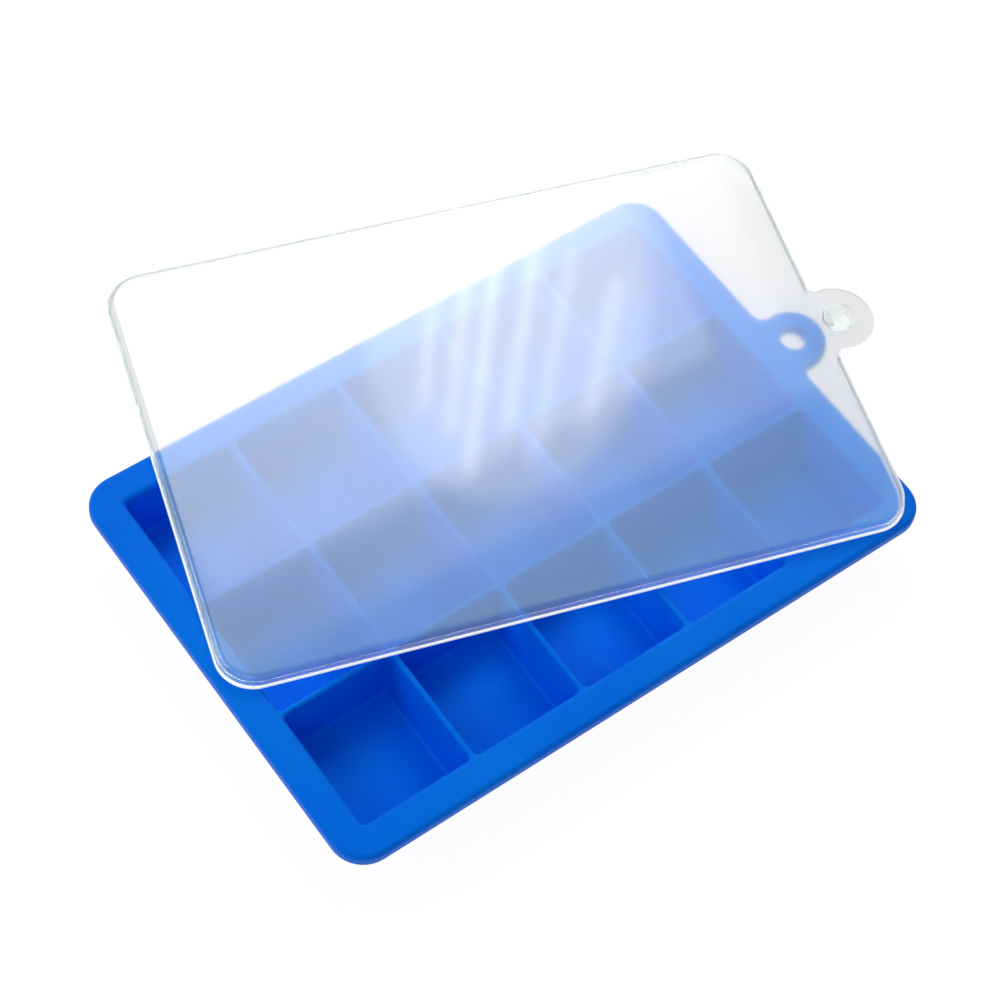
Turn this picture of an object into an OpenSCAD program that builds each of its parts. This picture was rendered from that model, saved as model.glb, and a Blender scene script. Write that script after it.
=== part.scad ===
// Silicone ice cube tray with a translucent lid lying askew on its rim.
// Millimetres, +Z up. The origin is the middle of the tray's underside.
// X runs along the tray towards the short side that has the hanging tab.

/* [Cells] */
// Number of cells along the tray
cells_long = 5; // [2:1:7]
// Number of cells across the tray
cells_wide = 3; // [1:1:5]
// Opening of one cell, along the tray
cell_l = 33.8; // [26:0.2:44]
// Opening of one cell, across the tray
cell_w = 37; // [26:0.2:46]
// Depth of a cell, from the rim's top to its floor
cell_depth = 18; // [13:0.5:26]
// How far a cell's wall leans in from the rim's top to the floor
wall_lean = 1.5; // [0.6:0.1:2.6]
// Fillet between the walls and the floor of a cell
floor_r = 1.4; // [1:0.1:4]

/* [Dividers] */
// Thickness of a divider at its rounded top
divider_t = 1.8; // [1.4:0.1:3]
// How far a divider's top lies below the rim's top
divider_drop = 0.4; // [0.2:0.1:2]

/* [Rim] */
// Width of the rim, from the cells to its outer edge
rim_w = 9.4; // [7:0.2:14]
// Thickness of the rim
rim_t = 4.4; // [3.6:0.2:6]
// Radius of the rim's corners, seen from above
rim_corner_r = 9.6; // [6:0.2:16]
// Rounding of the rim's upper outer edge
rim_top_r = 1.6; // [0.6:0.1:2]
// Rounding of the rim's lower outer edge
rim_under_r = 0.8; // [0.4:0.1:1.2]
// Rounding where the rim turns down into the cells
lip_r = 1.5; // [0.8:0.1:2.4]
// Corner radius of the opening in the rim
lip_corner_r = 3; // [1.6:0.1:4]

/* [Base] */
// Thickness of the floor under the cells
base_t = 2; // [1.4:0.1:4]
// Thickness of the outer wall around the cells
wall_t = 1.8; // [1.4:0.1:2.6]
// Upright corner radius of the outer wall
wall_corner_r = 2.6; // [1:0.1:3]
// Rounding of the underside's outer edge
base_edge_r = 3; // [1:0.1:4]
// Width of the groove under each divider, at the underside
groove_w = 4; // [1:0.1:5]
// Depth of the groove under each divider
groove_depth = 5; // [1:0.1:6]

/* [Hanging tab] */
// Distance of the hanging hole's centre from the rim's outer edge
tab_reach = 4.7; // [3:0.1:8]
// Radius of the tray's tab around the hole
tab_r = 9.8; // [8:0.1:13]
// Diameter of the hanging hole
hole_d = 8; // [4:0.1:12]
// Radius that blends the tray's tab into the rim
tab_blend_r = 3.4; // [1:0.1:8]

/* [Lid] */
// Clearance between the closed lid's skirt and the rim, on each side
lid_clear = 0.2; // [0.1:0.05:0.8]
// Thickness of the lid's skirt
skirt_t = 0.8; // [0.6:0.1:1.6]
// Thickness of the lid's top plate
plate_t = 1; // [0.6:0.1:1.4]
// How far the skirt reaches below the plate
skirt_depth = 4; // [3:0.1:8]
// Rounding of the lid's upper outer edge
lid_edge_r = 2; // [1.8:0.1:2.4]
// How far the bead at the skirt's foot stands out
bead_out = 0.4; // [0.2:0.1:0.8]
// Height of the bead at the skirt's foot
bead_h = 1; // [0.9:0.1:2]
// How much wider the lid's tab is than the tray's, all round
lid_tab_lap = 1; // [0:0.1:3]
// Radius that blends the lid's tab into the lid's edge
lid_blend_r = 1; // [0.4:0.1:3]
// Diameter of the round button on the lid's tab
button_d = 9.2; // [6:0.1:14]
// Height of the round button on the lid's tab
button_h = 1.6; // [0.6:0.1:3]
// Clearance of the peg under the button in the hanging hole, on each side
peg_clear = 0.2; // [0.1:0.05:0.6]
// Clearance of the skirt's notch beside the tray's tab, on each side
notch_clear = 0.4; // [0.2:0.1:2]

/* [Lid as it lies] */
// Turn of the lid on the tray, in degrees
lid_turn = -17.6; // [-30:0.1:30]
// Shift of the lid's middle along the tray
lid_shift_x = 17.1; // [-30:0.1:30]
// Shift of the lid's middle across the tray
lid_shift_y = 27.1; // [-30:0.1:30]

/* [Hidden] */
$fn = 64;
// A little more than any solid, for cuts that run right through
past = 1;
tray_h = base_t + cell_depth;
// The block of cells at the rim's top, without the rim
block_l = cells_long * cell_l + (cells_long - 1) * divider_t;
block_w = cells_wide * cell_w + (cells_wide - 1) * divider_t;
pitch_l = cell_l + divider_t;
pitch_w = cell_w + divider_t;
rim_long = block_l + 2 * rim_w;
rim_wide = block_w + 2 * rim_w;
// Middle of the hanging hole, and of the lid's tab when the lid is closed
tab_x = rim_long / 2 + tab_reach;
// The lid's outline without its bead
lid_long = rim_long + 2 * (lid_clear + skirt_t);
lid_wide = rim_wide + 2 * (lid_clear + skirt_t);
lid_corner_r = rim_corner_r + lid_clear + skirt_t;
lid_h = skirt_depth + plate_t;
// Half width of the notch that lets the tray's tab out through the closed lid's skirt
notch_half = tab_half_at(rim_long / 2 + lid_clear) + notch_clear;
// The walls' lean as an angle, and how far they lean in at a height
lean_angle = atan(wall_lean / cell_depth);
function lean_at(z) = wall_lean * (tray_h - z) / cell_depth;
// Where a tab of radius r blends into a straight side, measured from its middle line
function blend_y(r, blend_r, edge) = sqrt(pow(r + blend_r, 2) - pow(edge + blend_r - tab_x, 2));
// Half width of the tray's tab at a place x within its blend into the rim
function tab_half_at(x) = blend_y(tab_r, tab_blend_r, rim_long / 2)
    - sqrt(pow(tab_blend_r, 2) - pow(rim_long / 2 + tab_blend_r - x, 2));
// Height where a divider's rounded top begins, and its half thickness below that
divider_round_z = tray_h - divider_drop - divider_t / 2;
function divider_half(z) = divider_t / 2 + wall_lean * (divider_round_z - z) / cell_depth;
// Places of the dividers, counted from the middle of the tray
long_divider_y = [for (i = [1:1:cells_wide - 1]) (i - cells_wide / 2) * pitch_w];
short_divider_x = [for (i = [1:1:cells_long - 1]) (i - cells_long / 2) * pitch_l];

// Rectangle with rounded corners, in the plan
module rounded_plan(l, w, r) {
    square([l - 2 * r, w], center = true);
    square([l, w - 2 * r], center = true);
    for (x = [-1, 1], y = [-1, 1])
        translate([x * (l / 2 - r), y * (w / 2 - r)]) circle(r);
}

// Upright strip from x = 0 to reach, with its upper and lower outer corners rounded
module rounded_section(reach, h, upper_r, lower_r) {
    square([reach - max(upper_r, lower_r), h]);
    translate([0, lower_r]) square([reach, h - upper_r - lower_r]);
    translate([reach - upper_r, h - upper_r]) circle(upper_r);
    if (lower_r > 0) {
        translate([reach - lower_r, lower_r]) circle(lower_r);
        square([reach - lower_r, lower_r]);
    }
}

// Carries a section round a rounded rectangle, with its x = 0 at the corners' centres
module carried_round(l, w, r) {
    for (side = [0, 1], flip = [0, 180]) {
        run = (side == 0 ? l : w) - 2 * r;
        reach = (side == 0 ? w : l) / 2 - r;
        rotate([0, 0, flip + side * 90])
            translate([run / 2, -reach, 0])
                rotate([90, 0, -90]) linear_extrude(run) children();
    }
    for (quarter = [0:3]) {
        x = quarter == 0 || quarter == 3 ? 1 : -1;
        y = quarter < 2 ? 1 : -1;
        translate([x * (l / 2 - r), y * (w / 2 - r), 0])
            rotate([0, 0, quarter * 90]) rotate_extrude(angle = 90) children();
    }
}

// Slab with rounded corners in the plan, and rounded upper and lower outer edges
module rounded_slab(l, w, r, h, upper_r, lower_r) {
    carried_round(l, w, r) rounded_section(r, h, upper_r, lower_r);
    translate([r - l / 2, r - w / 2, 0]) cube([l - 2 * r, w - 2 * r, h]);
}

// Section between two walls that lean in towards the bottom and round into it
module leaning_section(half, low, high, r) {
    arc_z = low + r;
    arc_x = half - lean_at(arc_z) - r / cos(lean_angle);
    meet_x = arc_x + r * cos(lean_angle);
    meet_z = arc_z - r * sin(lean_angle);
    top_x = half - lean_at(high);
    polygon([
        [-arc_x, low], [arc_x, low], [meet_x, meet_z], [top_x, high],
        [-top_x, high], [-meet_x, meet_z]
    ]);
    for (side = [-1, 1])
        translate([side * arc_x, arc_z]) circle(r);
}

// Stands a section across the tray: children(0) spans the length, children(1) the width
module crossed_sections() {
    intersection() {
        rotate([90, 0, 0]) linear_extrude(2 * rim_wide, center = true) children(0);
        rotate([90, 0, 90]) linear_extrude(2 * rim_long, center = true) children(1);
    }
}

// Section of the hollow in the tray, with the rim's rounded lip at its top
module hollow_section(half) {
    lip_z = tray_h - lip_r;
    lip_x = half - lean_at(lip_z) + lip_r;
    leaning_section(half, base_t, lip_z, floor_r);
    difference() {
        translate([-lip_x, lip_z]) square([2 * lip_x, lip_r + past]);
        for (side = [-1, 1])
            translate([side * lip_x, lip_z]) circle(lip_r);
    }
}

// The whole hollow, before the dividers stand in it
module hollow() {
    intersection() {
        crossed_sections() {
            hollow_section(block_l / 2);
            hollow_section(block_w / 2);
        }
        linear_extrude(tray_h + 2 * past)
            rounded_plan(block_l + 2 * lip_r, block_w + 2 * lip_r, lip_corner_r);
    }
}

// Section of a divider: rounded top, leaning sides and a fillet at the floor on each side
module divider_section() {
    arc_z = base_t + floor_r;
    arc_x = divider_half(arc_z) + floor_r / cos(lean_angle);
    meet_x = arc_x - floor_r * cos(lean_angle);
    meet_z = arc_z - floor_r * sin(lean_angle);
    low = base_t - past;
    difference() {
        polygon([
            [-arc_x, low], [arc_x, low], [arc_x, arc_z], [meet_x, meet_z],
            [divider_t / 2, divider_round_z], [-divider_t / 2, divider_round_z],
            [-meet_x, meet_z], [-arc_x, arc_z]
        ]);
        for (side = [-1, 1])
            translate([side * arc_x, arc_z]) circle(floor_r);
    }
    translate([0, divider_round_z]) circle(divider_t / 2);
}

// The dividers between the cells, both ways
module dividers() {
    for (y = long_divider_y)
        translate([0, y, 0]) rotate([90, 0, 90])
            linear_extrude(block_l + rim_w, center = true) divider_section();
    for (x = short_divider_x)
        translate([x, 0, 0]) rotate([90, 0, 0])
            linear_extrude(block_w + rim_w, center = true) divider_section();
}

// Wall and floor around the cells, under the rim
module outer_wall() {
    intersection() {
        crossed_sections() {
            leaning_section(block_l / 2 + wall_t, 0, tray_h - rim_t / 2, base_edge_r);
            leaning_section(block_w / 2 + wall_t, 0, tray_h - rim_t / 2, base_edge_r);
        }
        linear_extrude(tray_h)
            rounded_plan(block_l + 2 * wall_t, block_w + 2 * wall_t, wall_corner_r);
    }
}

// Grooves that part the cells' undersides, so that one cell can be pressed out at a time
module grooves() {
    tip = groove_w / 6;
    for (y = long_divider_y)
        translate([0, y, 0]) rotate([90, 0, 90])
            linear_extrude(rim_long, center = true) groove_section(tip);
    for (x = short_divider_x)
        translate([x, 0, 0]) rotate([90, 0, 0])
            linear_extrude(rim_wide, center = true) groove_section(tip);
}

// Section of one groove, open at the underside
module groove_section(tip) {
    half = groove_w / 2;
    spread = (half - tip) * past / groove_depth;
    polygon([
        [-half - spread, -past], [half + spread, -past],
        [tip, groove_depth], [-tip, groove_depth]
    ]);
}

// Round tab at x = tab_x, blended into a straight side at x = edge and rooted at x = root
module tab_plan(r, blend_r, edge, root) {
    blend_x = edge + blend_r;
    reach_y = blend_y(r, blend_r, edge);
    translate([tab_x, 0]) circle(r);
    difference() {
        polygon([
            [root, -reach_y], [edge, -reach_y], [blend_x, -reach_y], [tab_x, 0],
            [blend_x, reach_y], [edge, reach_y], [root, reach_y]
        ]);
        for (side = [-1, 1])
            translate([blend_x, side * reach_y]) circle(blend_r);
    }
}

// The blue silicone moulding: rim, cells, dividers, base and hanging tab
module tray() {
    color("dodgerblue")
    difference() {
        union() {
            translate([0, 0, tray_h - rim_t])
                rounded_slab(rim_long, rim_wide, rim_corner_r, rim_t, rim_top_r, rim_under_r);
            outer_wall();
            translate([0, 0, tray_h - rim_t])
                linear_extrude(rim_t)
                    tab_plan(tab_r, tab_blend_r, rim_long / 2, rim_long / 2 - rim_top_r - past);
        }
        difference() {
            hollow();
            dividers();
        }
        grooves();
        translate([tab_x, 0, tray_h - rim_t - past]) cylinder(h = rim_t + 2 * past, d = hole_d);
    }
}

// The lid in its own place, with the skirt's foot and the peg's foot at z = 0
module lid_shape() {
    difference() {
        union() {
            rounded_slab(lid_long, lid_wide, lid_corner_r, lid_h, lid_edge_r, 0);
            carried_round(lid_long, lid_wide, lid_corner_r) bead_section();
            translate([0, 0, skirt_depth])
                linear_extrude(plate_t)
                    tab_plan(tab_r + lid_tab_lap, lid_blend_r, lid_long / 2,
                        lid_long / 2 - lid_edge_r - past);
        }
        translate([0, 0, -past])
            rounded_slab(lid_long - 2 * skirt_t, lid_wide - 2 * skirt_t, lid_corner_r - skirt_t,
                skirt_depth + past, lid_edge_r - skirt_t, 0);
        translate([lid_long / 2 - lid_edge_r, -notch_half, -past])
            cube([2 * lid_edge_r, 2 * notch_half, skirt_depth + past]);
    }
    translate([tab_x, 0, lid_h - plate_t / 2])
        cylinder(h = plate_t / 2 + button_h, d = button_d);
    translate([tab_x, 0, 0])
        cylinder(h = skirt_depth + plate_t / 2, d = hole_d - 2 * peg_clear);
}

// Half-round bead that stands out at the skirt's foot
module bead_section() {
    foot = lid_corner_r;
    translate([foot - skirt_t, 0]) square([skirt_t, bead_h]);
    translate([foot + bead_out - bead_h / 2, bead_h / 2]) circle(bead_h / 2);
}

// The translucent moulding: its skirt lies on the tray's rim, its peg on the tip of the tray's tab
module lid() {
    color("aliceblue", 0.5)
        translate([lid_shift_x, lid_shift_y, tray_h]) rotate([0, 0, lid_turn]) lid_shape();
}

tray();
lid();
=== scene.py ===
"""Blue silicone ice cube tray with its translucent lid lying askew on the rim.

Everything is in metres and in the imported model's own frame: the origin is the middle of the tray's
underside, X runs along the tray towards its hanging tab and Z is up.
"""

import math

import bmesh
import bpy
from bpy.props import (FloatProperty, FloatVectorProperty, IntProperty, PointerProperty,
                       StringProperty)
from mathutils import Matrix, Quaternion, Vector


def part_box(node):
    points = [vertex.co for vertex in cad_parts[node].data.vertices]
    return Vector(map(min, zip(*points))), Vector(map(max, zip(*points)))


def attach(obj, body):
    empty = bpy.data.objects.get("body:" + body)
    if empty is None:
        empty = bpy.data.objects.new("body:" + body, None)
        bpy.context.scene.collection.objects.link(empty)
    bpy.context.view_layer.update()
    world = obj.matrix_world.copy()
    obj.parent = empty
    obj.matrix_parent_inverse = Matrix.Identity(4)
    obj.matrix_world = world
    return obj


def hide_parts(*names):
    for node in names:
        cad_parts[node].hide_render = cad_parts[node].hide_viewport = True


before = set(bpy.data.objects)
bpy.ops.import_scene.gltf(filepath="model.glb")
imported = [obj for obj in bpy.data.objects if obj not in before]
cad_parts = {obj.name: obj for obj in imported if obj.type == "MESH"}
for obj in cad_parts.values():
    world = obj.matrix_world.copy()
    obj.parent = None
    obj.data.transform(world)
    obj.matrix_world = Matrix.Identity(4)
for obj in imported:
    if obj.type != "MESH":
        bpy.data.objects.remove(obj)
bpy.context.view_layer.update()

bl_info = {
    "name": "Ice cube tray with lid",
    "version": (1, 0, 0),
    "blender": (4, 5, 0),
    "location": "3D View > Sidebar > Ice tray",
    "description": "Builds a silicone ice cube tray, its translucent lid and a plain studio",
    "category": "Object",
}

MM = 0.001
TRAY_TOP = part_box("lid")[0].z

# How close two heights are that count as one, how far round its place a vertex is looked for,
# and how close two vertices are that are merged at the end
LEVEL_ROOM = 0.02 * MM
PLACE_ROOM = 0.1 * MM
WELD = 0.002 * MM
# Faces that meet at more than this stay sharp
SHARP_ANGLE = math.radians(50)


def length(name, description, millimetres):
    """One length that a user may change, in metres, with its default given in millimetres."""
    return FloatProperty(name=name, description=description, default=millimetres * MM,
                         min=0.0, unit="LENGTH", subtype="DISTANCE", precision=5)


def hue(name, description, text):
    """One colour that a user may change, as an sRGB hex value."""
    return StringProperty(name=name, description=description, default=text)


class TraySizes(bpy.types.PropertyGroup):
    cells_long: IntProperty(name="Cells along", description="Cells along the tray", default=5)
    cells_wide: IntProperty(name="Cells across", description="Cells across the tray", default=3)
    cell_l: length("Cell length", "Opening of one cell, along the tray", 33.8)
    cell_w: length("Cell width", "Opening of one cell, across the tray", 37.0)
    cell_depth: length("Cell depth", "From the rim's top to a cell's floor", 18.0)
    cell_corner_r: length("Cell corner", "Upright corner radius inside a cell", 1.4)
    floor_r: length("Floor fillet", "Fillet between a cell's walls and its floor", 1.4)
    wall_lean: length("Wall lean", "How far a wall leans in from the rim's top to the floor", 1.5)
    divider_t: length("Divider", "Thickness of a divider at its rounded top", 1.8)
    divider_drop: length("Divider drop", "How far a divider's top lies below the rim's top", 0.4)
    divider_top_r: length("Divider rounding", "Rounding of a divider's top edges", 0.85)
    rim_w: length("Rim width", "From the cells to the rim's outer edge", 9.4)
    rim_t: length("Rim thickness", "Thickness of the rim and of the tab", 4.4)
    rim_corner_r: length("Rim corner", "Corner radius of the rim, seen from above", 9.6)
    rim_top_r: length("Rim top rounding", "Rounding of the rim's upper outer edge", 1.6)
    rim_under_r: length("Rim lower rounding", "Rounding of the rim's lower outer edge", 0.8)
    lip_r: length("Lip", "Rounding where the rim turns down into the cells", 1.5)
    wall_t: length("Outer wall", "Thickness of the wall around the cells", 1.8)
    wall_corner_r: length("Wall corner", "Upright corner radius of the outer wall", 2.6)
    base_edge_r: length("Base edge", "Rounding of the underside's outer edge", 3.0)
    groove_w: length("Groove width", "Width of the groove under each divider", 4.0)
    groove_depth: length("Groove depth", "Depth of the groove under each divider", 5.0)
    tab_reach: length("Tab reach", "From the rim's outer edge to the hanging hole's middle", 4.7)
    tab_r: length("Tab radius", "Radius of the tab around the hole", 9.8)
    tab_blend_r: length("Tab blend", "Radius that blends the tab into the rim", 3.4)
    hole_d: length("Hanging hole", "Diameter of the hanging hole", 8.0)


class LidSizes(bpy.types.PropertyGroup):
    clear: length("Clearance", "Room between the closed lid's skirt and the rim", 0.2)
    skirt_t: length("Skirt", "Thickness of the skirt", 0.8)
    plate_t: length("Plate", "Thickness of the top plate", 1.0)
    skirt_depth: length("Skirt depth", "How far the skirt reaches below the plate", 4.0)
    edge_r: length("Edge rounding", "Rounding of the upper outer edge", 2.0)
    bead_out: length("Bead", "How far the bead at the skirt's foot stands out", 0.4)
    bead_h: length("Bead height", "Height of the bead at the skirt's foot", 1.0)
    tab_lap: length("Tab lap", "How much wider the lid's tab is than the tray's, all round", 1.0)
    blend_r: length("Tab blend", "Radius that blends the tab into the lid's edge", 1.0)
    button_d: length("Button", "Diameter of the round button on the tab", 9.2)
    button_h: length("Button height", "Height of the round button on the tab", 1.6)
    peg_clear: length("Peg clearance", "Room around the peg in the hanging hole", 0.2)
    notch_half: length("Notch", "Half width of the skirt's notch under the tab", 12.5)
    turn: FloatProperty(name="Turn", description="Turn of the lid on the tray",
                        default=math.radians(-17.6), unit="ROTATION", subtype="ANGLE")
    shift: FloatVectorProperty(name="Shift", description="Shift of the lid's middle on the tray",
                               size=2, default=(17.1 * MM, 27.1 * MM), unit="LENGTH",
                               subtype="XYZ")


class FinishColours(bpy.types.PropertyGroup):
    silicone: hue("Silicone", "Blue of the silicone", "#0069EA")
    silicone_pale: hue("Silicone, paler", "Slightly paler blue that clouds the silicone", "#0272ED")
    lid: hue("Lid", "Milky white of the translucent plastic", "#FFF2FB")
    # Painted bounce light: the lid's scattered light is tinted cool to stand for blue light from the
    # tray
    lid_painted_bounce: hue("Lid, scattered light", "Cool tint of the light that the lid scatters back",
                     "#70F0C0")
    floor: hue("Floor", "White of the floor", "#FFFFFF")


def linear(text):
    """An sRGB hex value as linear RGBA."""
    values = [int(text[i:i + 2], 16) / 255 for i in (1, 3, 5)]
    return [v / 12.92 if v <= 0.04045 else ((v + 0.055) / 1.055) ** 2.4 for v in values] + [1.0]


# Working in edit mode

def take(piece):
    """Selects one piece and nothing else."""
    bpy.ops.object.select_all(action="DESELECT")
    piece.select_set(True)
    bpy.context.view_layer.objects.active = piece


def start_editing(piece):
    take(piece)
    bpy.ops.object.mode_set(mode="EDIT")


def stop_editing():
    bpy.ops.object.mode_set(mode="OBJECT")


def pick(piece, kind, test):
    """Selects in edit mode the vertices, edges or faces that pass the test, and nothing else."""
    bpy.ops.mesh.select_mode(type=kind)
    mesh = bmesh.from_edit_mesh(piece.data)
    parts = {"VERT": mesh.verts, "EDGE": mesh.edges, "FACE": mesh.faces}
    for group in parts.values():
        for part in group:
            part.select = False
    found = [part for part in parts[kind] if test(part)]
    for part in found:
        part.select_set(True)
    mesh.select_flush_mode()
    bmesh.update_edit_mesh(piece.data)
    if not found:
        raise RuntimeError(f"nothing to select on {piece.name}")


def near(a, b):
    return abs(a - b) < LEVEL_ROOM


def flat_at(z):
    """A test that only level faces at height z pass."""
    return lambda face: near(face.calc_center_median().z, z) and abs(face.normal.z) > 0.9


def level_edge_at(z):
    """A test that only edges at height z pass."""
    return lambda edge: near(edge.verts[0].co.z, z) and near(edge.verts[1].co.z, z)


def shift(x=0.0, y=0.0, z=0.0):
    bpy.ops.transform.translate(value=(x, y, z))


def stretch(x, y, centre):
    bpy.ops.transform.resize(value=(x, y, 1.0), center_override=centre)


def rounded_plate(name, half_l, half_w, corner_r, z, steps):
    """A flat face with rounded corners at height z, in edit mode with the face selected."""
    bpy.ops.object.select_all(action="DESELECT")
    bpy.ops.mesh.primitive_plane_add(size=2.0, location=(0.0, 0.0, 0.0))
    piece = bpy.context.object
    piece.name = name
    start_editing(piece)
    bpy.ops.mesh.select_mode(type="VERT")
    bpy.ops.mesh.select_all(action="SELECT")
    stretch(half_l, half_w, (0.0, 0.0, 0.0))
    shift(z=z)
    bpy.ops.mesh.bevel(offset=corner_r, offset_type="OFFSET", segments=steps, profile=0.5,
                       affect="VERTICES")
    bpy.ops.mesh.select_mode(type="FACE")
    bpy.ops.mesh.select_all(action="SELECT")
    return piece


def cutting_block(name, size, middle):
    """A block of the given size around its middle, in edit mode."""
    bpy.ops.object.select_all(action="DESELECT")
    bpy.ops.mesh.primitive_cube_add(size=1.0, location=(0.0, 0.0, 0.0))
    piece = bpy.context.object
    piece.name = name
    start_editing(piece)
    bpy.ops.mesh.select_all(action="SELECT")
    bpy.ops.transform.resize(value=size, center_override=(0.0, 0.0, 0.0))
    shift(*middle)
    return piece


def inset_to(inward, rise):
    """Insets the selected face evenly, then lifts it."""
    if inward > 1e-9:
        bpy.ops.mesh.inset(thickness=inward, depth=0.0, use_even_offset=True)
    else:
        bpy.ops.mesh.extrude_region()
    shift(z=rise)


def inset_arc(radius, steps, up):
    """Rounds the selected face's edge by a quarter arc; up is 1, or -1 for down."""
    for i in range(steps):
        a, b = (math.pi / 2 * k / steps for k in (i, i + 1))
        inset_to(radius * (math.cos(a) - math.cos(b)), up * radius * (math.sin(b) - math.sin(a)))


def extrude_scaled(half, new_half, rise):
    """Extrudes the selected face and brings its half sizes from half to new_half."""
    bpy.ops.mesh.extrude_region()
    stretch(new_half[0] / half[0], new_half[1] / half[1], (0.0, 0.0, 0.0))
    shift(z=rise)
    return new_half


def extrude_arc(half, radius, steps):
    """Carries the selected face, with its half sizes, down a quarter arc to the flat bottom."""
    at = half
    for i in range(steps):
        a, b = (math.pi / (2 * steps) * k for k in (i, i + 1))
        inward = radius * (1 - math.cos(b))
        at = extrude_scaled(at, (half[0] - inward, half[1] - inward),
                            radius * (math.sin(a) - math.sin(b)))


def copy_of(piece, name):
    take(piece)
    bpy.ops.object.duplicate(linked=False)
    bpy.context.object.name = name
    return bpy.context.object


def joined(pieces):
    bpy.ops.object.select_all(action="DESELECT")
    for piece in pieces:
        piece.select_set(True)
    bpy.context.view_layer.objects.active = pieces[0]
    bpy.ops.object.join()
    return bpy.context.object


def cut_or_join(piece, other, operation):
    """Boolean of two closed shells, applied, and the second one removed."""
    take(piece)
    step = piece.modifiers.new("boolean", "BOOLEAN")
    step.operation = operation
    step.object = other
    step.solver = "EXACT"
    bpy.ops.object.modifier_apply(modifier=step.name)
    take(other)
    bpy.ops.object.delete()


def face_outwards(piece):
    start_editing(piece)
    bpy.ops.mesh.select_all(action="SELECT")
    bpy.ops.mesh.normals_make_consistent(inside=False)
    stop_editing()


def check_closed(piece):
    """Raises an error if the shell has an open or doubled edge."""
    mesh = bmesh.new()
    mesh.from_mesh(piece.data)
    loose = [edge for edge in mesh.edges if not edge.is_manifold]
    volume = mesh.calc_volume(signed=True)
    mesh.free()
    if loose or volume <= 0:
        raise RuntimeError(f"{piece.name} isn't closed: {len(loose)} open edges, volume {volume}")


def smooth_with_flat_faces(piece):
    """Smooth shading that leaves large flat faces flat."""
    take(piece)
    bpy.ops.object.shade_smooth_by_angle(angle=SHARP_ANGLE)
    step = piece.modifiers.new("weighted normals", "WEIGHTED_NORMAL")
    step.keep_sharp = True
    bpy.ops.object.modifier_apply(modifier=step.name)


# Outlines with a round tab

OUTLINE_CORNER_STEPS = 10
BLEND_STEPS = 6
TAB_STEPS = 40
OUTLINE_WELD = 0.01 * MM


def tab_outline(name, half_l, half_w, corner_r, tab, z, root=None):
    """A flat face at height z: a rounded rectangle with a round tab on its right, or the tab alone
    from the x of its root.

    tab holds the tab's middle x, its radius and the radius that blends it into the side."""
    tab_x, tab_r, blend_r = tab
    blend_x = half_l + blend_r
    reach = math.sqrt((tab_r + blend_r) ** 2 - (blend_x - tab_x) ** 2)
    sweep = math.pi / 2 + math.atan2(tab_x - blend_x, reach)
    top = half_w - corner_r
    bpy.ops.object.select_all(action="DESELECT")
    bpy.ops.mesh.primitive_plane_add(size=MM)
    piece = bpy.context.object
    piece.name = name
    start_editing(piece)
    bpy.ops.mesh.select_mode(type="VERT")
    bpy.ops.mesh.select_all(action="SELECT")
    bpy.ops.mesh.merge(type="CENTER")
    right = half_l - corner_r

    def line(start, end):
        step = (end[0] - start[0], end[1] - start[1], 0.0)
        bpy.ops.mesh.extrude_region_move(TRANSFORM_OT_translate={"value": step})

    def turn(angle, x, y, steps):
        bpy.ops.mesh.spin(steps=steps, angle=angle, center=(x, y, z), axis=(0.0, 0.0, 1.0))

    if root is None:
        shift(right, half_w, z)
        turn(math.pi / 2, right, top, OUTLINE_CORNER_STEPS)
        line((half_l, top), (half_l, reach))
    else:
        shift(root, reach, z)
        line((root, reach), (half_l, reach))
    turn(-sweep, blend_x, reach, BLEND_STEPS)
    turn(2 * sweep, tab_x, 0.0, TAB_STEPS)
    turn(-sweep, blend_x, -reach, BLEND_STEPS)
    if root is None:
        line((half_l, -reach), (half_l, -top))
        turn(math.pi / 2, right, -top, OUTLINE_CORNER_STEPS)
        line((right, -half_w), (-right, -half_w))
        turn(math.pi / 2, -right, -top, OUTLINE_CORNER_STEPS)
        line((-half_l, -top), (-half_l, top))
        turn(math.pi / 2, -right, top, OUTLINE_CORNER_STEPS)
        line((-right, half_w), (right, half_w))
    else:
        line((half_l, -reach), (root, -reach))
        line((root, -reach), (root, reach))
    bpy.ops.mesh.select_all(action="SELECT")
    bpy.ops.mesh.remove_doubles(threshold=OUTLINE_WELD)
    bpy.ops.mesh.select_all(action="SELECT")
    bpy.ops.mesh.edge_face_add()
    bpy.ops.mesh.select_mode(type="FACE")
    bpy.ops.mesh.select_all(action="SELECT")
    return piece


# The tray

LIP_STEPS = 5
LIP_TOP_STEPS = 4
CORNER_STEPS = 6
FLOOR_STEPS = 6
RIM_TOP_STEPS = 7
RIM_UNDER_STEPS = 4
FILLET_STEPS = 4
WALL_CORNER_STEPS = 8
BASE_STEPS = 7
HOLE_SIDES = 40
HOLE_STEPS = 4
HOLE_EDGE_R = 0.5 * MM
RIM_FILLET = 0.8 * MM
GROOVE_EDGE_R = 0.5 * MM
GROOVE_EDGE_ANGLE = math.radians(32)
GROOVE_OVERRUN = 5 * MM
# Width of a groove's top, as a share of its width at the tray's underside
GROOVE_TOP = 1 / 3
# How far round its place the tip of a divider's end is looked for
TIP_ROOM = 0.03 * MM


def block_sizes(s):
    """Length and width over all the cells, with the dividers between them."""
    return (s.cells_long * s.cell_l + (s.cells_long - 1) * s.divider_t,
            s.cells_wide * s.cell_w + (s.cells_wide - 1) * s.divider_t)


def divider_angle(s):
    """The angle at which the rim's lip has come down to the dividers' tops."""
    return math.acos(1 - s.divider_drop / s.lip_r)


def rim_lip(s, a):
    """How far the rim's lip stands out from the wall, and its height: angle 0 is its flat top."""
    back = s.wall_lean * s.lip_r / s.cell_depth
    return s.lip_r * (1 - math.sin(a)) - back, TRAY_TOP - s.lip_r * (1 - math.cos(a))


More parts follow.
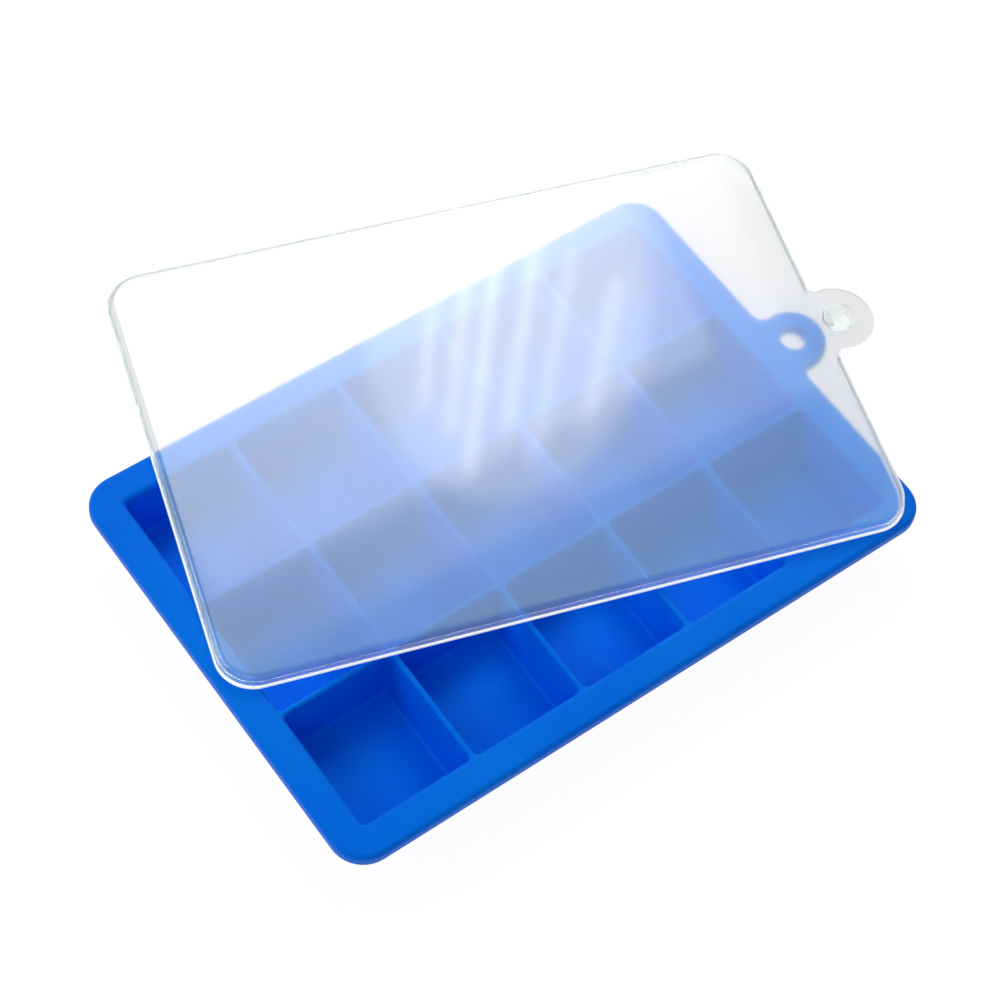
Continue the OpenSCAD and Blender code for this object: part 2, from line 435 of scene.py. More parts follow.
def lip_offsets(s, step, outer):
    """How far a ring of a cell's lip stands out from the wall, and its height.

    Outer sides follow the rim's larger lip, the others the divider's small rounding."""
    if outer:
        first = divider_angle(s)
        return rim_lip(s, first + (math.pi / 2 - first) * step / LIP_STEPS)
    a = math.pi / 2 * step / LIP_STEPS
    r = s.divider_top_r
    return r * (1 - math.sin(a)), TRAY_TOP - s.divider_drop - r * (1 - math.cos(a))


def make_cell(s):
    """The inside of one cell around the origin, from the tops of its dividers down."""
    r = s.divider_top_r
    top = TRAY_TOP - s.divider_drop
    cell = rounded_plate("cell", s.cell_l / 2 + r, s.cell_w / 2 + r, s.cell_corner_r + r, top,
                         CORNER_STEPS)
    for step in range(LIP_STEPS):
        out, z = lip_offsets(s, step, False)
        next_out, next_z = lip_offsets(s, step + 1, False)
        inset_to(out - next_out, next_z - z)
    floor_z = TRAY_TOP - s.cell_depth
    z = top - r
    lean = s.wall_lean * (z - floor_z - s.floor_r) / s.cell_depth
    half = (s.cell_l / 2, s.cell_w / 2)
    foot = extrude_scaled(half, (half[0] - lean, half[1] - lean), floor_z + s.floor_r - z)
    extrude_arc(foot, s.floor_r, FLOOR_STEPS)
    stop_editing()
    return cell


def fit_to_rim(cell, s, side_x, side_y):
    """Bends the lip of a cell at the tray's edge to the rim's larger rounding."""
    moves = {}
    for x, y in ((x, y) for x in (-1, 1) for y in (-1, 1) if x == side_x or y == side_y):
        for step in range(LIP_STEPS + 1):
            out, z = lip_offsets(s, step, False)
            rim_out, rim_z = lip_offsets(s, step, True)
            r = s.cell_corner_r + out
            for turn in range(CORNER_STEPS + 1):
                a = math.pi / 2 * turn / CORNER_STEPS
                c, n = math.cos(a), math.sin(a)
                share = (c * c if x == side_x else 0.0) + (n * n if y == side_y else 0.0)
                at = Vector((x * (s.cell_l / 2 - s.cell_corner_r + r * c),
                             y * (s.cell_w / 2 - s.cell_corner_r + r * n), z))
                found = [v.index for v in cell.data.vertices if (v.co - at).length < PLACE_ROOM]
                if len(found) != 1 or found[0] in moves:
                    raise RuntimeError("a vertex of the cell's lip isn't where it should be")
                grow = (rim_out - out) * share
                moves[found[0]] = (x * grow * c, y * grow * n, (rim_z - z) * share)
    start_editing(cell)
    for index, move in moves.items():
        pick(cell, "VERT", lambda v: v.index == index)
        shift(*move)
    stop_editing()


def make_cells(s):
    """All cells, the tops of the dividers between them and the rim's inner lip."""
    pitch_l, pitch_w = s.cell_l + s.divider_t, s.cell_w + s.divider_t
    last_x, last_y = s.cells_long - 1, s.cells_wide - 1
    model = make_cell(s)
    cells = []
    for i in range(s.cells_long):
        for j in range(s.cells_wide):
            cell = copy_of(model, f"cell_{i}_{j}")
            side_x = (i == last_x) - (i == 0)
            side_y = (j == last_y) - (j == 0)
            if side_x or side_y:
                fit_to_rim(cell, s, side_x, side_y)
            start_editing(cell)
            bpy.ops.mesh.select_all(action="SELECT")
            shift((i - last_x / 2) * pitch_l, (j - last_y / 2) * pitch_w)
            stop_editing()
            cells.append(cell)
    bpy.data.objects.remove(model)
    cells = joined(cells)

    # Edges that close the dividers' ends along the rim
    start_editing(cells)
    top = TRAY_TOP - s.divider_drop
    out = lip_offsets(s, 0, True)[0]
    end_x = last_x / 2 * pitch_l + s.cell_l / 2 + out
    end_y = last_y / 2 * pitch_w + s.cell_w / 2 + out
    flare = s.divider_t / 2 + s.cell_corner_r
    ends = [((i - last_x / 2 + 0.5) * pitch_l, y, flare, 0.0)
            for i in range(last_x) for y in (-end_y, end_y)]
    ends += [(x, (j - last_y / 2 + 0.5) * pitch_w, 0.0, flare)
             for j in range(last_y) for x in (-end_x, end_x)]
    for x, y, dx, dy in ends:
        tips = [Vector((x - dx, y - dy, top)), Vector((x + dx, y + dy, top))]
        pick(cells, "VERT", lambda v: min((v.co - tip).length for tip in tips) < TIP_ROOM)
        bpy.ops.mesh.edge_face_add()

    # The dividers' tops
    corner_x = end_x - out - s.cell_corner_r
    corner_y = end_y - out - s.cell_corner_r

    def on_divider(edge):
        if edge.is_wire:
            return True
        if not edge.is_boundary:
            return False
        a, b = edge.verts[0].co, edge.verts[1].co
        middle = (a + b) / 2
        on_side = (near(abs(a.x), end_x) and near(abs(b.x), end_x)
                   or near(abs(a.y), end_y) and near(abs(b.y), end_y))
        return not on_side and not (abs(middle.x) > corner_x and abs(middle.y) > corner_y)

    pick(cells, "EDGE", on_divider)
    bpy.ops.mesh.fill(use_beauty=True)

    # The rim's lip, ring by ring
    pick(cells, "EDGE", lambda edge: edge.is_boundary)
    z = top
    for i in range(1, LIP_TOP_STEPS + 1):
        new_out, new_z = rim_lip(s, divider_angle(s) * (1 - i / LIP_TOP_STEPS))
        bpy.ops.mesh.extrude_region()
        shift(z=new_z - z)
        grow = new_out - out
        old_r, new_r = s.cell_corner_r + out, s.cell_corner_r + new_out
        for side in (-1, 1):
            pick(cells, "VERT", lambda v: near(v.co.z, new_z) and side * v.co.x > corner_x
                 and abs(v.co.y) < corner_y - PLACE_ROOM)
            shift(x=side * grow)
            pick(cells, "VERT", lambda v: near(v.co.z, new_z) and side * v.co.y > corner_y
                 and abs(v.co.x) < corner_x - PLACE_ROOM)
            shift(y=side * grow)
            for up in (-1, 1):
                pick(cells, "VERT", lambda v: near(v.co.z, new_z)
                     and side * v.co.x > corner_x - PLACE_ROOM
                     and up * v.co.y > corner_y - PLACE_ROOM)
                stretch(new_r / old_r, new_r / old_r, (side * corner_x, up * corner_y, new_z))
        pick(cells, "EDGE", level_edge_at(new_z))
        z, out = new_z, new_out
    stop_editing()
    return cells


def make_rim(s, half_l, half_w):
    """The rim's outer sides and the tab's, without the flat top and underside."""
    low = TRAY_TOP - s.rim_t
    tab = (half_l + s.tab_reach, s.tab_r, s.tab_blend_r)
    rim = tab_outline("rim", half_l, half_w, s.rim_corner_r, tab, low + s.rim_under_r)
    inset_to(0.0, s.rim_t - s.rim_under_r - s.rim_top_r)
    inset_arc(s.rim_top_r, RIM_TOP_STEPS, 1)
    bpy.ops.mesh.delete(type="ONLY_FACE")
    pick(rim, "FACE", flat_at(low + s.rim_under_r))
    inset_arc(s.rim_under_r, RIM_UNDER_STEPS, -1)
    bpy.ops.mesh.delete(type="ONLY_FACE")
    stop_editing()
    return rim


def make_hole(s, x):
    """The wall of the hanging hole, rounded at both mouths."""
    r = s.hole_d / 2
    bpy.ops.object.select_all(action="DESELECT")
    bpy.ops.mesh.primitive_circle_add(vertices=HOLE_SIDES, radius=r + HOLE_EDGE_R,
                                      location=(0.0, 0.0, 0.0))
    hole = bpy.context.object
    hole.name = "hole"
    start_editing(hole)
    bpy.ops.mesh.select_mode(type="VERT")
    bpy.ops.mesh.select_all(action="SELECT")
    shift(x, 0.0, TRAY_TOP)
    points = [(r + HOLE_EDGE_R * (1 - math.sin(a)), TRAY_TOP - HOLE_EDGE_R * (1 - math.cos(a)))
              for a in (math.pi / (2 * HOLE_STEPS) * i for i in range(HOLE_STEPS + 1))]
    low = TRAY_TOP - s.rim_t
    points += [(radius, low + TRAY_TOP - z) for radius, z in reversed(points)]
    for (old_r, old_z), (new_r, new_z) in zip(points, points[1:]):
        bpy.ops.mesh.extrude_region()
        stretch(new_r / old_r, new_r / old_r, (x, 0.0, old_z))
        shift(z=new_z - old_z)
    stop_editing()
    return hole


def make_base(s, block_l, block_w):
    """The outer wall with its small fillet under the rim, and the grooved underside."""
    high = TRAY_TOP - s.rim_t

    def half_at(z):
        lean = s.wall_lean * (TRAY_TOP - z) / s.cell_depth
        return block_l / 2 + s.wall_t - lean, block_w / 2 + s.wall_t - lean

    start = half_at(high - RIM_FILLET)
    half = (start[0] + RIM_FILLET, start[1] + RIM_FILLET)
    base = rounded_plate("base", *half, s.wall_corner_r + RIM_FILLET, high, WALL_CORNER_STEPS)
    for i in range(FILLET_STEPS):
        a, b = (math.pi / (2 * FILLET_STEPS) * k for k in (i, i + 1))
        out = RIM_FILLET * (1 - math.sin(b))
        half = extrude_scaled(half, (start[0] + out, start[1] + out),
                              RIM_FILLET * (math.cos(b) - math.cos(a)))
    foot = extrude_scaled(half, half_at(s.base_edge_r), s.base_edge_r - (high - RIM_FILLET))
    extrude_arc(foot, s.base_edge_r, BASE_STEPS)
    stop_editing()
    face_outwards(base)
    pitch_l, pitch_w = s.cell_l + s.divider_t, s.cell_w + s.divider_t
    long, wide = block_l + 2 * GROOVE_OVERRUN, block_w + 2 * GROOVE_OVERRUN
    grooves = [((i - s.cells_long / 2) * pitch_l, 0.0, s.groove_w, wide)
               for i in range(1, s.cells_long)]
    grooves += [(0.0, (j - s.cells_wide / 2) * pitch_w, long, s.groove_w)
                for j in range(1, s.cells_wide)]
    for x, y, l, w in grooves:
        # The cutter stands half above the tray's underside and half below it, and tapers upwards
        cutter = cutting_block("groove", (l, w, 2 * s.groove_depth), (x, y, 0.0))
        for side, share in ((1, GROOVE_TOP), (-1, 2 - GROOVE_TOP)):
            pick(cutter, "FACE", lambda f: side * f.normal.z > 0.9)
            stretch(share if l < w else 1.0, share if w < l else 1.0, (x, y, 0.0))
        stop_editing()
        cut_or_join(base, cutter, "DIFFERENCE")
    start_editing(base)
    pick(base, "FACE", lambda f: near(f.calc_center_median().z, high) and f.normal.z > 0.9)
    bpy.ops.mesh.delete(type="ONLY_FACE")
    stop_editing()
    rounding = base.modifiers.new("groove edges", "BEVEL")
    rounding.width = GROOVE_EDGE_R
    rounding.segments = 3
    rounding.limit_method = "ANGLE"
    rounding.angle_limit = GROOVE_EDGE_ANGLE
    take(base)
    bpy.ops.object.modifier_apply(modifier=rounding.name)
    return base


def make_tray(s):
    block_l, block_w = block_sizes(s)
    half_l, half_w = block_l / 2 + s.rim_w, block_w / 2 + s.rim_w
    parts = [make_cells(s), make_rim(s, half_l, half_w), make_hole(s, half_l + s.tab_reach),
             make_base(s, block_l, block_w)]
    tray = joined(parts)
    tray.name = "tray_moulding"
    start_editing(tray)
    for z in (TRAY_TOP, TRAY_TOP - s.rim_t):
        at_height = level_edge_at(z)
        pick(tray, "EDGE", lambda edge: edge.is_boundary and at_height(edge))
        bpy.ops.mesh.fill(use_beauty=True)
    bpy.ops.mesh.select_all(action="SELECT")
    bpy.ops.mesh.remove_doubles(threshold=WELD)
    stop_editing()
    face_outwards(tray)
    check_closed(tray)
    smooth_with_flat_faces(tray)
    return tray


# The lid

TAB_EDGE_R = 0.3 * MM
TAB_EDGE_STEPS = 3
STUD_SIDES = 48
STUD_EDGE_R = 0.5 * MM
STUD_EDGE_STEPS = 4
SKIRT_EDGE = 0.15 * MM
BEAD_STEPS = 8
# Where the bead's half round starts, in degrees above its widest line, and how far it turns
BEAD_START = 80
BEAD_TURN = 170
LID_CORNER_STEPS = 12
LID_EDGE_STEPS = 7
LID_INNER_STEPS = 6


def make_stud(name, d, low, top, x, up):
    """A round stud at x from low to top, its upper edge rounded, or its lower edge if up is -1."""
    bpy.ops.object.select_all(action="DESELECT")
    bpy.ops.mesh.primitive_cylinder_add(vertices=STUD_SIDES, radius=d / 2, depth=top - low,
                                        location=(0.0, 0.0, 0.0))
    stud = bpy.context.object
    stud.name = name
    start_editing(stud)
    bpy.ops.mesh.select_all(action="SELECT")
    shift(x, 0.0, (low + top) / 2)
    pick(stud, "FACE", lambda f: up * f.normal.z > 0.9)
    bpy.ops.mesh.bevel(offset=STUD_EDGE_R, segments=STUD_EDGE_STEPS, affect="EDGES")
    stop_editing()
    face_outwards(stud)
    return stud


def make_lid(s, t):
    """The lid for a tray with the sizes t, modelled around the origin and then laid on the rim."""
    block_l, block_w = block_sizes(t)
    half_l, half_w = block_l / 2 + t.rim_w, block_w / 2 + t.rim_w
    half = (half_l + s.clear + s.skirt_t, half_w + s.clear + s.skirt_t)
    corner_r = t.rim_corner_r + s.clear + s.skirt_t
    high = s.skirt_depth + s.plate_t
    side_top = high - s.edge_r
    body = rounded_plate("lid_body", *half, corner_r, s.bead_h, LID_CORNER_STEPS)
    inset_to(0.0, side_top - s.bead_h)
    inset_arc(s.edge_r, LID_EDGE_STEPS, 1)
    pick(body, "FACE", flat_at(s.bead_h))

    # The bead, then the skirt's foot and the inside
    r = s.bead_h / 2
    bead_x = s.bead_out - r
    at, z = half, s.bead_h
    for i in range(1, BEAD_STEPS + 1):
        a = math.radians(BEAD_START - BEAD_TURN * i / BEAD_STEPS)
        out = bead_x + r * math.cos(a)
        new_z = r + r * math.sin(a)
        at = extrude_scaled(at, (half[0] + out, half[1] + out), new_z - z)
        z = new_z
    inset_to(s.skirt_t + bead_x - SKIRT_EDGE, 0.0)
    inset_to(SKIRT_EDGE, SKIRT_EDGE)
    inner_r = s.edge_r - s.skirt_t
    inset_to(0.0, s.skirt_depth - inner_r - SKIRT_EDGE)
    inset_arc(inner_r, LID_INNER_STEPS, 1)
    stop_editing()
    face_outwards(body)

    # The tab: a thin plate level with the top, its edges just broken
    tab_x = half_l + t.tab_reach
    tab_low = s.skirt_depth + TAB_EDGE_R
    tab = tab_outline("lid_tab", *half, corner_r, (tab_x, t.tab_r + s.tab_lap, s.blend_r),
                      tab_low, root=half[0] - s.edge_r - MM)
    inset_to(0.0, s.plate_t - 2 * TAB_EDGE_R)
    inset_arc(TAB_EDGE_R, TAB_EDGE_STEPS, 1)
    pick(tab, "FACE", flat_at(tab_low))
    inset_arc(TAB_EDGE_R, TAB_EDGE_STEPS, -1)
    stop_editing()
    face_outwards(tab)
    cut_or_join(body, tab, "UNION")

    # The button above the tab and the peg under it
    root = high - s.plate_t / 2
    cut_or_join(body, make_stud("button", s.button_d, root, high + s.button_h, tab_x, 1), "UNION")
    cut_or_join(body, make_stud("peg", t.hole_d - 2 * s.peg_clear, 0.0, root, tab_x, -1), "UNION")

    # The notch that lets the tray's tab out through the closed lid's skirt
    low = -MM
    notch = cutting_block("notch", (2 * s.edge_r, 2 * s.notch_half, s.skirt_depth - low),
                          (half[0], 0.0, (s.skirt_depth + low) / 2))
    stop_editing()
    cut_or_join(body, notch, "DIFFERENCE")

    body.name = "lid_moulding"
    start_editing(body)
    bpy.ops.mesh.select_all(action="SELECT")
    bpy.ops.mesh.remove_doubles(threshold=WELD)
    stop_editing()
    face_outwards(body)
    check_closed(body)
    smooth_with_flat_faces(body)
    body.rotation_euler = (0.0, 0.0, s.turn)
    body.location = (s.shift[0], s.shift[1], TRAY_TOP)
    take(body)
    bpy.ops.object.transform_apply(location=True, rotation=True, scale=True)
    return body


# Materials

WHITE = (1.0, 1.0, 1.0, 1.0)
# The pigment's clouds are about as wide as a cell
CLOUD_SIZE = 40 * MM
# The tool's blasting is finer than this: the grain is drawn as coarse as it needs to show
GRAIN_SIZE = 0.6 * MM
# The lid's plate is uneven over about half a cell's width
WAVE_SIZE = 25 * MM
# Heights on the lid above the tray's top: its foot carries a painted white highlight with a weak
# painted glow up to the first pair, its face is polished from the second
PAINTED_GLINT_FOOT = (0.7 * MM, 0.9 * MM)
POLISHED_FACE = (4.2 * MM, 4.5 * MM)
# How much of the lid's look is light scattered back, in a painted cool tint
SCATTER_SHARE = 0.08


def add_node(tree, kind, settings=None, **links):
    """Adds a node with its properties and input values by name, and links outputs to its inputs."""
    node = tree.nodes.new(kind)
    for name, value in (settings or {}).items():
        if name in node.inputs:
            node.inputs[name].default_value = value
        else:
            setattr(node, name, value)
    for name, output in links.items():
        tree.links.new(output, node.inputs[name.replace("_", " ")])
    return node


def new_material(name):
    material = bpy.data.materials.new(name)
    material.use_nodes = True
    material.node_tree.nodes.clear()
    return material, material.node_tree


def silicone_rubber(c):
    """Blue silicone rubber, compression moulded in a fine-blasted tool: an even deep blue with a
    soft satin sheen, hardly any grain and faint clouds where the pigment lies a little thinner."""
    material, tree = new_material("moulded blue silicone rubber")
    place = add_node(tree, "ShaderNodeTexCoord").outputs["Object"]
    clouds = add_node(tree, "ShaderNodeTexNoise", {
        "Scale": 1 / CLOUD_SIZE, "Detail": 2.0, "Roughness": 0.5,
    }, Vector=place)
    ramp = add_node(tree, "ShaderNodeMapRange", {
        "From Min": 0.35, "From Max": 0.65,
    }, Value=clouds.outputs["Fac"])
    tint = add_node(tree, "ShaderNodeMix", {"data_type": "RGBA"})
    tint.inputs[6].default_value = linear(c.silicone)
    tint.inputs[7].default_value = linear(c.silicone_pale)
    tree.links.new(ramp.outputs["Result"], tint.inputs[0])
    grain = add_node(tree, "ShaderNodeTexNoise", {
        "Scale": 1 / GRAIN_SIZE, "Detail": 3.0, "Roughness": 0.6,
    }, Vector=place)
    bump = add_node(tree, "ShaderNodeBump", {
        "Strength": 0.25, "Distance": 0.02 * MM,
    }, Height=grain.outputs["Fac"])
    surface = add_node(tree, "ShaderNodeBsdfPrincipled", {
        "Roughness": 0.5, "IOR": 1.41,
        "Specular IOR Level": 0.35, "Specular Tint": (0.0, 0.5, 1.0, 1.0),
    }, Normal=bump.outputs["Normal"])
    tree.links.new(tint.outputs[2], surface.inputs["Base Color"])
    add_node(tree, "ShaderNodeOutputMaterial", Surface=surface.outputs["BSDF"])
    return material


def frosted_plastic(c):
    """Translucent polyethylene, injection moulded, polished on top and frosted below: it mirrors
    the lamps softly, and what lies under it shows through blurred and hazed. Its sides are clearer
    than its plate."""
    material, tree = new_material("translucent moulded plastic")
    place = add_node(tree, "ShaderNodeTexCoord").outputs["Object"]
    # Thin plates never cool quite flat, which bends what they mirror
    waves = add_node(tree, "ShaderNodeTexNoise", {
        "Scale": 1 / WAVE_SIZE, "Detail": 1.0,
    }, Vector=place)
    bump = add_node(tree, "ShaderNodeBump", {
        "Strength": 0.3, "Distance": 0.1 * MM,
    }, Height=waves.outputs["Fac"])
    surface = add_node(tree, "ShaderNodeBsdfPrincipled", {
        "Base Color": linear(c.lid), "IOR": 1.46, "Transmission Weight": 1.0,
        "Coat Roughness": 0.055, "Coat IOR": 1.5,
    }, Normal=bump.outputs["Normal"])
    normal = add_node(tree, "ShaderNodeNewGeometry").outputs["Normal"]
    upright = add_node(tree, "ShaderNodeSeparateXYZ", Vector=normal)
    level = add_node(tree, "ShaderNodeMath", {"operation": "ABSOLUTE"})
    tree.links.new(upright.outputs["Z"], level.inputs[0])
    frost = add_node(tree, "ShaderNodeMapRange", {
        "From Min": 0.3, "From Max": 0.98, "To Min": 0.1, "To Max": 0.27,
    }, Value=level.outputs[0])
    tree.links.new(frost.outputs["Result"], surface.inputs["Roughness"])
    milky = add_node(tree, "ShaderNodeMapRange", {
        "From Min": 0.2, "From Max": 0.95, "To Min": 0.08, "To Max": 0.12,
    }, Value=level.outputs[0])
    height = add_node(tree, "ShaderNodeSeparateXYZ", Vector=place)
    # Only the outer face of the plate is polished
    polish = add_node(tree, "ShaderNodeMapRange", {
        "From Min": TRAY_TOP + POLISHED_FACE[0], "From Max": TRAY_TOP + POLISHED_FACE[1],
    }, Value=height.outputs["Z"])
    tree.links.new(polish.outputs["Result"], surface.inputs["Coat Weight"])
    glow = add_node(tree, "ShaderNodeBsdfTranslucent", {"Color": linear(c.lid)})
    body = add_node(tree, "ShaderNodeMixShader")
    tree.links.new(milky.outputs["Result"], body.inputs[0])
    tree.links.new(surface.outputs["BSDF"], body.inputs[1])
    tree.links.new(glow.outputs[0], body.inputs[2])
    # The bead at the foot is painted near-white with a weak glow of its own, a painted highlight
    # that stands for the light the bead catches; it draws a white line round the skirt
    foot = add_node(tree, "ShaderNodeMapRange", {
        "From Min": TRAY_TOP + PAINTED_GLINT_FOOT[0], "From Max": TRAY_TOP + PAINTED_GLINT_FOOT[1],
        "To Min": 0.95, "To Max": 0.0,
    }, Value=height.outputs["Z"])
    # Painted highlight: near-white with a weak glow, though the bead is no lamp
    white = add_node(tree, "ShaderNodeBsdfPrincipled", {
        "Base Color": (0.95, 0.95, 0.95, 1.0), "Roughness": 0.4, "IOR": 1.5,
        "Emission Color": WHITE, "Emission Strength": 0.3,
    })
    lit = add_node(tree, "ShaderNodeMixShader")
    tree.links.new(foot.outputs["Result"], lit.inputs[0])
    tree.links.new(body.outputs[0], lit.inputs[1])
    tree.links.new(white.outputs[0], lit.inputs[2])
    # Painted bounce light: the scattered share is tinted cool for the blue light coming up from the
    # tray
    painted_bounce = add_node(tree, "ShaderNodeBsdfDiffuse", {"Color": linear(c.lid_painted_bounce)})
    cloudy = add_node(tree, "ShaderNodeMixShader", {"Fac": SCATTER_SHARE})
    tree.links.new(lit.outputs[0], cloudy.inputs[1])
    tree.links.new(painted_bounce.outputs[0], cloudy.inputs[2])
    # Lamps reach what lies under the lid, as they do through thin plastic
    path = add_node(tree, "ShaderNodeLightPath")
    passed = add_node(tree, "ShaderNodeMapRange", {
        "From Min": 0.2, "From Max": 0.95, "To Min": 0.35, "To Max": 1.0,
    }, Value=level.outputs[0])
    share = add_node(tree, "ShaderNodeMath", {"operation": "MULTIPLY"})
    tree.links.new(path.outputs["Is Shadow Ray"], share.inputs[0])
    tree.links.new(passed.outputs["Result"], share.inputs[1])
    clear = add_node(tree, "ShaderNodeBsdfTransparent")
    mix = add_node(tree, "ShaderNodeMixShader")
    tree.links.new(share.outputs[0], mix.inputs[0])
    tree.links.new(cloudy.outputs[0], mix.inputs[1])
    tree.links.new(clear.outputs[0], mix.inputs[2])
    add_node(tree, "ShaderNodeOutputMaterial", Surface=mix.outputs[0])
    return material


def give_material(piece, material):
    piece.data.materials.clear()
    piece.data.materials.append(material)


class ICETRAY_OT_tray(bpy.types.Operator):
    """Build the blue silicone moulding: rim, cells, dividers, base and hanging tab"""
    bl_idname = "icetray.tray"
    bl_label = "Silicone tray"

    def execute(self, context):
        tray = make_tray(context.scene.tray_sizes)
        give_material(tray, silicone_rubber(context.scene.finish_colours))
        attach(tray, "root")
        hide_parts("tray")
        return {"FINISHED"}


class ICETRAY_OT_lid(bpy.types.Operator):
    """Build the translucent lid: plate, skirt with bead, tab, button and peg"""
    bl_idname = "icetray.lid"
    bl_label = "Translucent lid"

    def execute(self, context):
        lid = make_lid(context.scene.lid_sizes, context.scene.tray_sizes)
        give_material(lid, frosted_plastic(context.scene.finish_colours))
        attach(lid, "root")
        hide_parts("lid")
        return {"FINISHED"}


# Camera: the photograph's angle

CAMERA_AZIMUTH = math.radians(43.9)
CAMERA_ELEVATION = math.radians(57.8)
CAMERA_ROLL = math.radians(9.2)
CAMERA_LENS = 91.1
CAMERA_PLACE = (-0.2587, -0.2649, 0.6081)


def add_camera():
    level, fall = math.cos(CAMERA_ELEVATION), math.sin(CAMERA_ELEVATION)
    east, north = math.sin(CAMERA_AZIMUTH), math.cos(CAMERA_AZIMUTH)
    ahead = Vector((level * east, level * north, -fall))
    right = Vector((north, -east, 0.0))
    down = ahead.cross(right)
    side = math.cos(CAMERA_ROLL) * right - math.sin(CAMERA_ROLL) * down
    under = math.sin(CAMERA_ROLL) * right + math.cos(CAMERA_ROLL) * down
    data = bpy.data.cameras.new("camera")
    data.lens = CAMERA_LENS
    data.sensor_width = 36.0
    data.clip_start, data.clip_end = 0.01, 20.0
    camera = bpy.data.objects.new("camera", data)
    bpy.context.scene.collection.objects.link(camera)
    turn = Matrix((side, -under, -ahead)).transposed()
    camera.matrix_world = Matrix.Translation(CAMERA_PLACE) @ turn.to_4x4()
    bpy.context.scene.camera = camera


# The studio

WARM = (1.0, 0.95, 0.84)
PLAIN = (1.0, 1.0, 1.0)
WORLD_LEVEL = 0.36
PAPER_GLOW = 0.95
# The paper seen by the camera takes only this much of the light, and with it of the shadow
PAPER_SHADE = 0.09
FLOOR_SIZE = 6.0
# The floor lies a hair below the tray, so that no two faces share a plane
FLOOR_GAP = 0.05 * MM

# Bare tubes in the warm softbox, which draw the streaks on the lid: how far along and up they hang
# from its middle, their width and length, and their power in watts
TUBES = (
    (0.1, 0.03, 0.006, 0.16, 0.03),
    (0.072, 0.01, 0.008, 0.22, 0.05),
    (0.048, 0.04, 0.008, 0.26, 0.07),
    (0.016, 0.02, 0.007, 0.18, 0.04),
    (-0.016, 0.05, 0.006, 0.2, 0.03),
    (-0.06, 0.03, 0.01, 0.14, 0.03),
)

# Name, shape, place, size, power in watts, turn in degrees, colour
LAMPS = (
    ("warm softbox behind the tray", "RECTANGLE", (0.600, 0.890, 1.278), (0.52, 0.52), 2.9, 27.0,
     WARM),
    ("soft edge of the warm softbox", "RECTANGLE", (0.594, 0.896, 1.279), (0.68, 0.68), 2.6, 27.0,
     WARM),
    ("warm glow in the softbox", "ELLIPSE", (0.682, 0.740, 1.315), (0.26, 0.34), 0.7, 0.0, WARM),
    *(("warm tube in the softbox", "RECTANGLE",
       (0.696 - 0.715 * along, 0.711 + 0.7 * along, 1.30 + up), (width, size), power, 0.0, WARM)
      for along, up, width, size, power in TUBES),
    ("low softbox behind the tray", "RECTANGLE", (0.90, 0.94, 1.09), (0.5, 0.4), 4.0, 0.0, PLAIN),
    ("softbox at the left", "RECTANGLE", (-1.1, 0.75, 1.0), (1.0, 0.8), 8.5, 0.0, PLAIN),
    ("fill at the front left", "RECTANGLE", (-1.0, -0.8, 1.1), (0.6, 0.6), 2.2, 0.0, PLAIN),
)


def add_lamp(name, shape, place, size, power, roll, colour):
    """A soft lamp that faces the tray's middle, turned on its own axis by roll degrees."""
    data = bpy.data.lights.new(name, "AREA")
    data.shape = shape
    data.size, data.size_y = size
    data.energy = power
    data.color = colour
    lamp = bpy.data.objects.new(name, data)
    bpy.context.scene.collection.objects.link(lamp)
    lamp.location = place
    facing = (-Vector(place)).to_track_quat("-Z", "Y")
    lamp.rotation_euler = (facing @ Quaternion((0.0, 0.0, 1.0), math.radians(roll))).to_euler()


def studio_floor(c):
    """Seamless white paper: blank white to the eye, with only the object's soft shadow on it.

    Seen straight, mirrored or through the lid it glows, and otherwise it is plain lit paper."""
    material, tree = new_material("white studio paper")
    path = add_node(tree, "ShaderNodeLightPath")
    seen = add_node(tree, "ShaderNodeMath", {"operation": "MAXIMUM"})
    tree.links.new(path.outputs["Is Camera Ray"], seen.inputs[0])
    tree.links.new(path.outputs["Is Transmission Ray"], seen.inputs[1])
    either = add_node(tree, "ShaderNodeMath", {"operation": "MAXIMUM"})
    tree.links.new(seen.outputs[0], either.inputs[0])
    tree.links.new(path.outputs["Is Glossy Ray"], either.inputs[1])
    paper = add_node(tree, "ShaderNodeBsdfDiffuse", {"Color": linear(c.floor)})
    glow = add_node(tree, "ShaderNodeEmission", {"Color": linear(c.floor), "Strength": PAPER_GLOW})
    dim = add_node(tree, "ShaderNodeBsdfDiffuse", {"Color": (*[PAPER_SHADE] * 3, 1.0)})
    bright = add_node(tree, "ShaderNodeAddShader")
    tree.links.new(glow.outputs[0], bright.inputs[0])
    tree.links.new(dim.outputs[0], bright.inputs[1])
    mix = add_node(tree, "ShaderNodeMixShader")
    tree.links.new(either.outputs[0], mix.inputs[0])
    tree.links.new(paper.outputs[0], mix.inputs[1])
    tree.links.new(bright.outputs[0], mix.inputs[2])
    add_node(tree, "ShaderNodeOutputMaterial", Surface=mix.outputs[0])
    return material


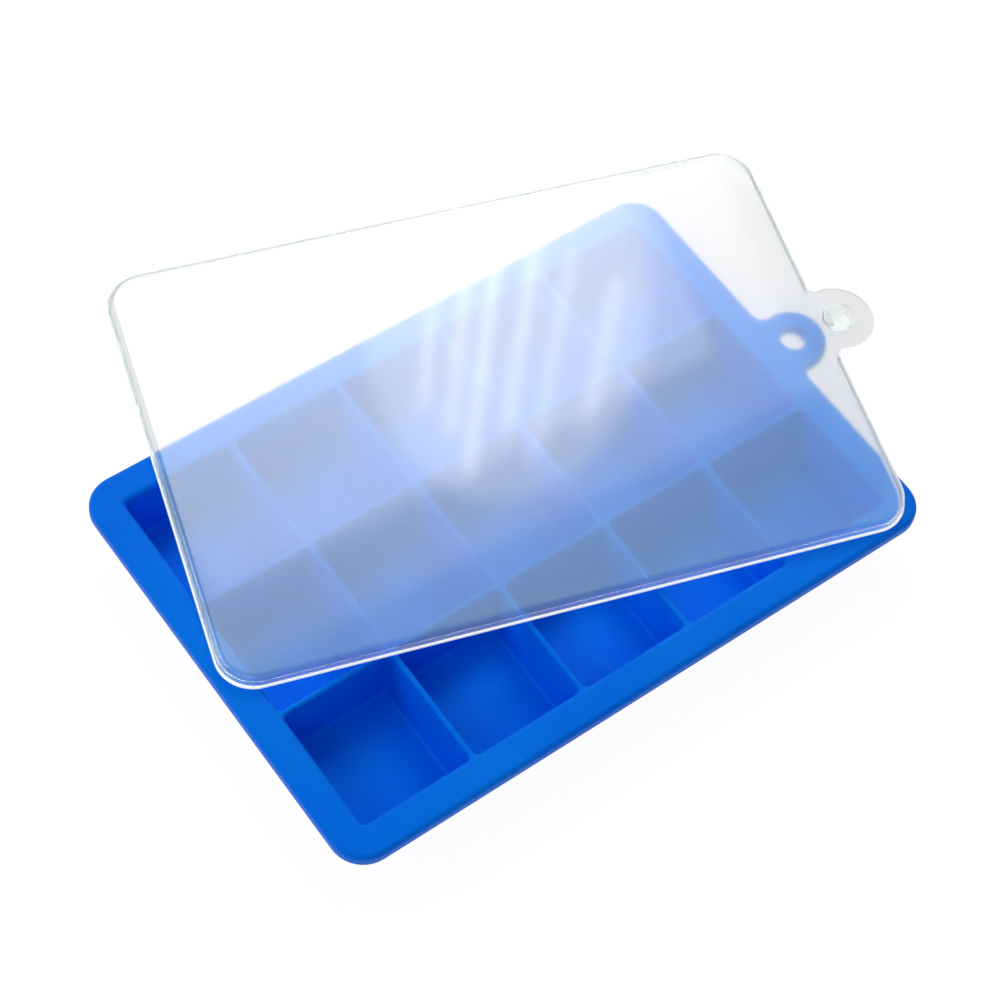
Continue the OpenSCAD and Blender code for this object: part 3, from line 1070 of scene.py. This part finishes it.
class ICETRAY_OT_stage(bpy.types.Operator):
    """Add the floor, the soft studio light and the camera at the photograph's angle"""
    bl_idname = "icetray.stage"
    bl_label = "Studio and camera"

    def execute(self, context):
        bpy.ops.object.select_all(action="DESELECT")
        bpy.ops.mesh.primitive_plane_add(size=FLOOR_SIZE, location=(0.0, 0.0, -FLOOR_GAP))
        floor = context.object
        floor.name = "studio_floor"
        give_material(floor, studio_floor(context.scene.finish_colours))
        for lamp in LAMPS:
            add_lamp(*lamp)
        world = bpy.data.worlds.new("studio")
        world.use_nodes = True
        background = world.node_tree.nodes["Background"]
        background.inputs["Color"].default_value = WHITE
        background.inputs["Strength"].default_value = WORLD_LEVEL
        context.scene.world = world
        context.scene.view_settings.view_transform = "Standard"
        add_camera()
        return {"FINISHED"}


class ICETRAY_PT_panel(bpy.types.Panel):
    """Buttons and sizes for the ice cube tray"""
    bl_idname = "ICETRAY_PT_panel"
    bl_label = "Ice cube tray"
    bl_space_type = "VIEW_3D"
    bl_region_type = "UI"
    bl_category = "Ice tray"

    def draw(self, context):
        column = self.layout.column()
        for operator in OPERATORS:
            column.operator(operator.bl_idname)
        for group_name in GROUPS:
            group = getattr(context.scene, group_name)
            box = self.layout.box()
            for name in group.__annotations__:
                box.prop(group, name)


OPERATORS = (ICETRAY_OT_tray, ICETRAY_OT_lid, ICETRAY_OT_stage)
GROUPS = {"tray_sizes": TraySizes, "lid_sizes": LidSizes, "finish_colours": FinishColours}


def register():
    for made in (*GROUPS.values(), *OPERATORS, ICETRAY_PT_panel):
        bpy.utils.register_class(made)
    for name, group in GROUPS.items():
        setattr(bpy.types.Scene, name, PointerProperty(type=group))


def unregister():
    for name in GROUPS:
        delattr(bpy.types.Scene, name)
    for made in reversed((*GROUPS.values(), *OPERATORS, ICETRAY_PT_panel)):
        bpy.utils.unregister_class(made)


def main():
    register()
    for operator in OPERATORS:
        group, name = operator.bl_idname.split(".")
        getattr(getattr(bpy.ops, group), name)()


if __name__ == "__main__":
    main()
